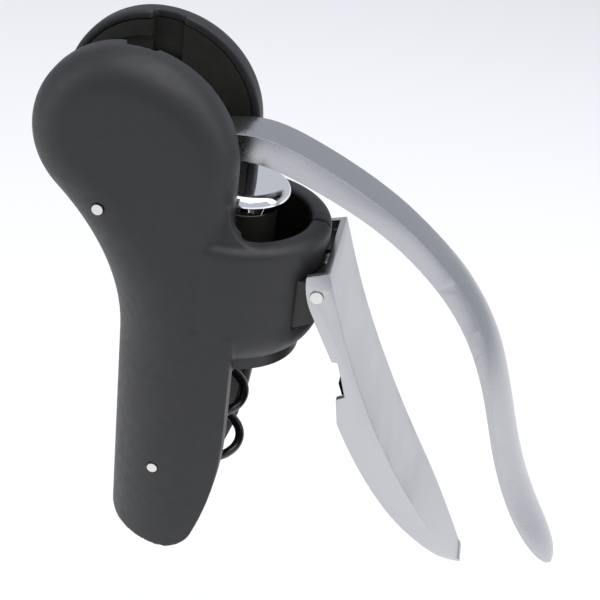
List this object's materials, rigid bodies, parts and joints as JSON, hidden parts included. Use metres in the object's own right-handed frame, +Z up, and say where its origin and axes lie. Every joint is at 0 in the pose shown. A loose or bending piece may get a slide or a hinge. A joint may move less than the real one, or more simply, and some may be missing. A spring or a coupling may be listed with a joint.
{
  "type": "lever corkscrew",
  "caption": "Pistol-shaped lever corkscrew: a geared lever drives the worm's carriage down into a bottle's neck, gripped between leg and clamp handle",
  "frame": {"origin": "on the worm's axis, on the face where the bottle's mouth seats", "axes": "+Z up the worm's axis towards its head, +X towards the lever's grip and the clamp handle, +Y across the width"},
  "size_m": [0.1477, 0.0476, 0.1428],
  "materials": {
    "soft_charcoal": "soft matt",
    "dark_plastic": "matt, faintly olive",
    "seat_plastic": "matt",
    "pale_nylon": "matt",
    "rubber": "matt",
    "satin_steel": "satin",
    "gear_steel": "machined",
    "satin_aluminium": "satin",
    "pressed_steel": "fine satin",
    "polished_chrome": "mirror",
    "black_coated_steel": "slick black non-stick coating on steel",
    "spring_steel": "bright wire"
  },
  "bodies": {
    "body": {"chassis": "dark_plastic", "front_cover": "soft_charcoal", "rear_cover": "soft_charcoal", "front_upper_cover_pin": "satin_steel", "front_lower_cover_pin": "satin_steel", "rear_upper_cover_pin": "satin_steel", "rear_lower_cover_pin": "satin_steel", "bottle_seat": "seat_plastic", "worm_guide": "pale_nylon", "neck_pad": "rubber", "front_axle_bush": "pale_nylon", "rear_axle_bush": "pale_nylon"},
    "lever": {"lever_arm": "satin_aluminium", "lever_axle": "satin_steel", "front_gear": "gear_steel", "rear_gear": "gear_steel", "gear_rivets": "satin_steel"},
    "carriage": {"carriage": "dark_plastic", "front_rack": "gear_steel", "rear_rack": "gear_steel", "rack_screws": "satin_steel", "thrust_washer": "pale_nylon"},
    "worm": {"worm_head": "polished_chrome", "stem_clip": "spring_steel", "worm_socket": "dark_plastic", "worm": "black_coated_steel"},
    "clamp": {"clamp_handle": "pressed_steel", "clamp_pin": "satin_steel", "clamp_jaw": "dark_plastic", "upper_clamp_pad": "rubber", "lower_clamp_pad": "rubber", "front_clamp_washer": "satin_steel", "rear_clamp_washer": "satin_steel", "clamp_spring": "spring_steel"}
  },
  "joints": [
    {"name": "lever_swing", "type": "hinge", "parent": "body", "child": "lever", "pos_m": [-0.0282, 0, 0.0555], "axis": [0, -1, 0], "range_deg": [0, 150]},
    {"name": "carriage_slide", "type": "slide", "parent": "body", "child": "carriage", "axis": [0, 0, 1], "range_m": [0, 0.04189]},
    {"name": "worm_spin", "type": "hinge", "parent": "carriage", "child": "worm", "pos_m": [0, 0, 0], "axis": [0, 0, 1], "range_deg": [0, 992.1]},
    {"name": "clamp_swing", "type": "hinge", "parent": "body", "child": "clamp", "pos_m": [0.0227, 0, 0.0248], "axis": [0, 1, 0], "range_deg": [0, 26], "stiffness_Nm_per_rad": 0.05, "springref_deg": -34.38, "deforming": ["clamp_spring"]}
  ],
  "couplings": [
    {"joint": "carriage_slide", "follows": "lever_swing", "m_per_rad": 0.016},
    {"joint": "worm_spin", "follows": "lever_swing", "ratio": 6.6139}
  ]
}
